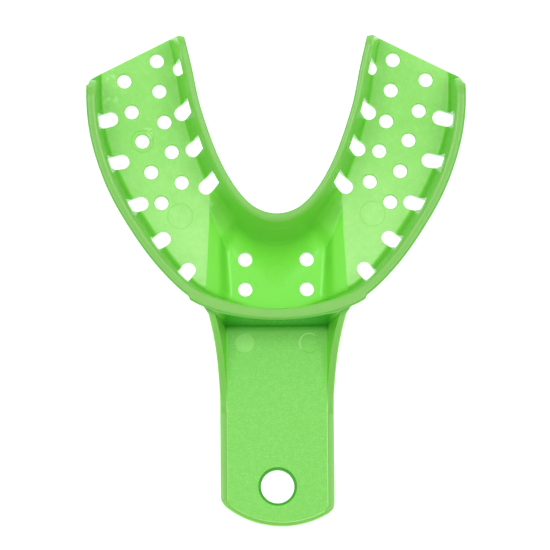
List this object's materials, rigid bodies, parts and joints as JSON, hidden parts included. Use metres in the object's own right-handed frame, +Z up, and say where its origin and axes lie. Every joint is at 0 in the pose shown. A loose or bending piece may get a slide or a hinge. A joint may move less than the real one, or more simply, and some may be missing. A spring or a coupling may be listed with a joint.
{
  "type": "dental impression tray",
  "caption": "Perforated full-arch impression tray for the lower jaw, a U-shaped walled trough with an integral flat handle.",
  "frame": {"origin": "middle of the tray's box in plan, at its underside, on which it rests", "axes": "+X to the tray's right seen from above, +Y from the handle towards the molar ends, +Z up out of the trough"},
  "size_m": [0.0756, 0.0982, 0.0145],
  "materials": {
    "green_plastic": "bright green, slightly translucent moulded plastic: glossy rim and wall faces, fine matte grain on the floor and the grip"
  },
  "bodies": {
    "root": {"front_floor": "green_plastic", "front_inner_wall": "green_plastic", "front_outer_wall": "green_plastic", "left_premolar_floor": "green_plastic", "left_premolar_inner_wall": "green_plastic", "left_premolar_outer_wall": "green_plastic", "left_molar_floor": "green_plastic", "left_molar_inner_wall": "green_plastic", "left_molar_outer_wall": "green_plastic", "right_premolar_floor": "green_plastic", "right_premolar_inner_wall": "green_plastic", "right_premolar_outer_wall": "green_plastic", "right_molar_floor": "green_plastic", "right_molar_inner_wall": "green_plastic", "right_molar_outer_wall": "green_plastic", "handle_plate": "green_plastic", "left_handle_flange": "green_plastic", "right_handle_flange": "green_plastic"}
  },
  "joints": []
}
